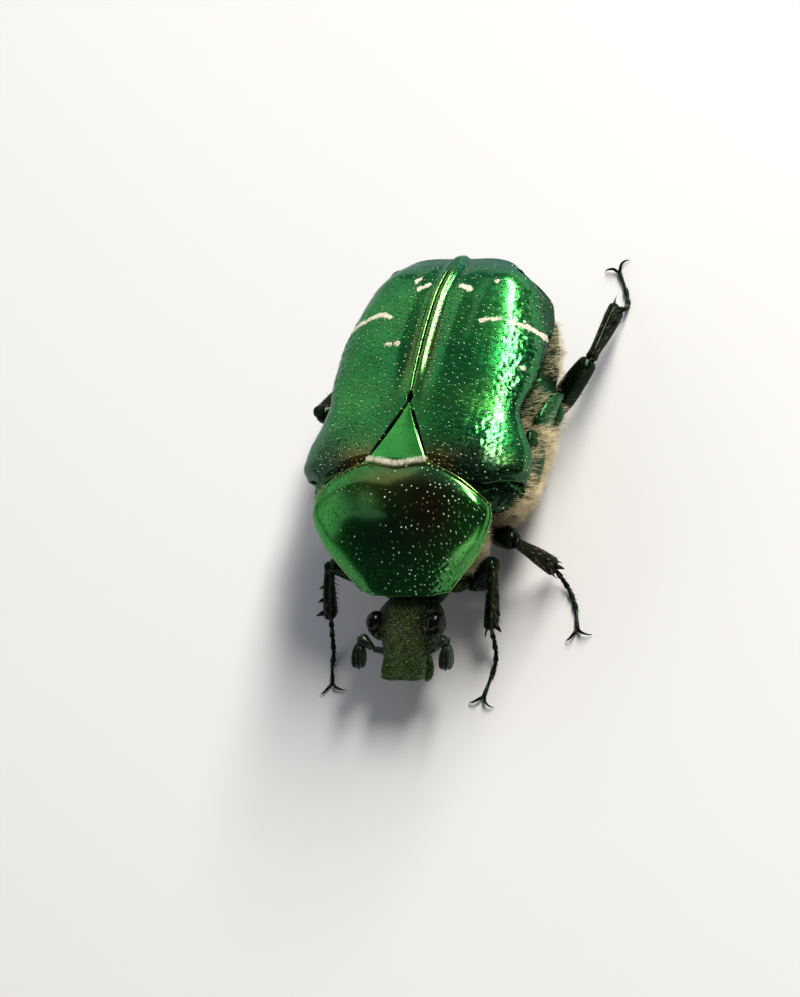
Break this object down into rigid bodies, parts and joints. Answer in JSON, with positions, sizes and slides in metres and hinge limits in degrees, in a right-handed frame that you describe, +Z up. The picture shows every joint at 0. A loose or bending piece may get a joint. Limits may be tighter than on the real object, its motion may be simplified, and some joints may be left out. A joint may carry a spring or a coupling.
{
  "type": "rose chafer",
  "caption": "Metallic green rose chafer beetle standing with its legs spread, with cream-flecked wing cases, clubbed antennae and toothed shins.",
  "frame": {"origin": "middle of the box around the model, on the floor it stands on", "axes": "+Z up, +Y towards the tail, +X towards the beetle's left"},
  "size_m": [0.0146, 0.022, 0.0076],
  "materials": {
    "elytra": "metallic green with punctures",
    "pronotum": "metallic deep green",
    "scutellum": "smooth metallic green",
    "mesepimera": "metallic green with coarse punctures",
    "underside": "green bronze with tawny hairs",
    "pygidium": "green with fine wrinkles",
    "head": "dark green with coarse punctures",
    "eyes": "glossy black",
    "antennae": "satin black",
    "legs": "glossy black green"
  },
  "bodies": {
    "root": {"elytron_left": "elytra", "elytron_right": "elytra", "pronotum": "pronotum", "scutellum": "scutellum", "mesepimeron_left": "mesepimera", "mesepimeron_right": "mesepimera", "prothorax": "underside", "thorax": "underside", "abdomen": "underside", "pygidium": "pygidium", "head": "head", "eye_left": "eyes", "eye_right": "eyes", "antenna_left": "antennae", "antenna_right": "antennae", "femur_front_left": "legs", "femur_front_right": "legs", "femur_middle_left": "legs", "femur_middle_right": "legs", "femur_hind_left": "legs", "femur_hind_right": "legs", "tibia_front_left": "legs", "tibia_front_right": "legs", "tibia_middle_left": "legs", "tibia_middle_right": "legs", "tibia_hind_left": "legs", "tibia_hind_right": "legs", "tarsus_front_left": "legs", "tarsus_front_right": "legs", "tarsus_middle_left": "legs", "tarsus_middle_right": "legs", "tarsus_hind_left": "legs", "tarsus_hind_right": "legs"}
  },
  "joints": []
}
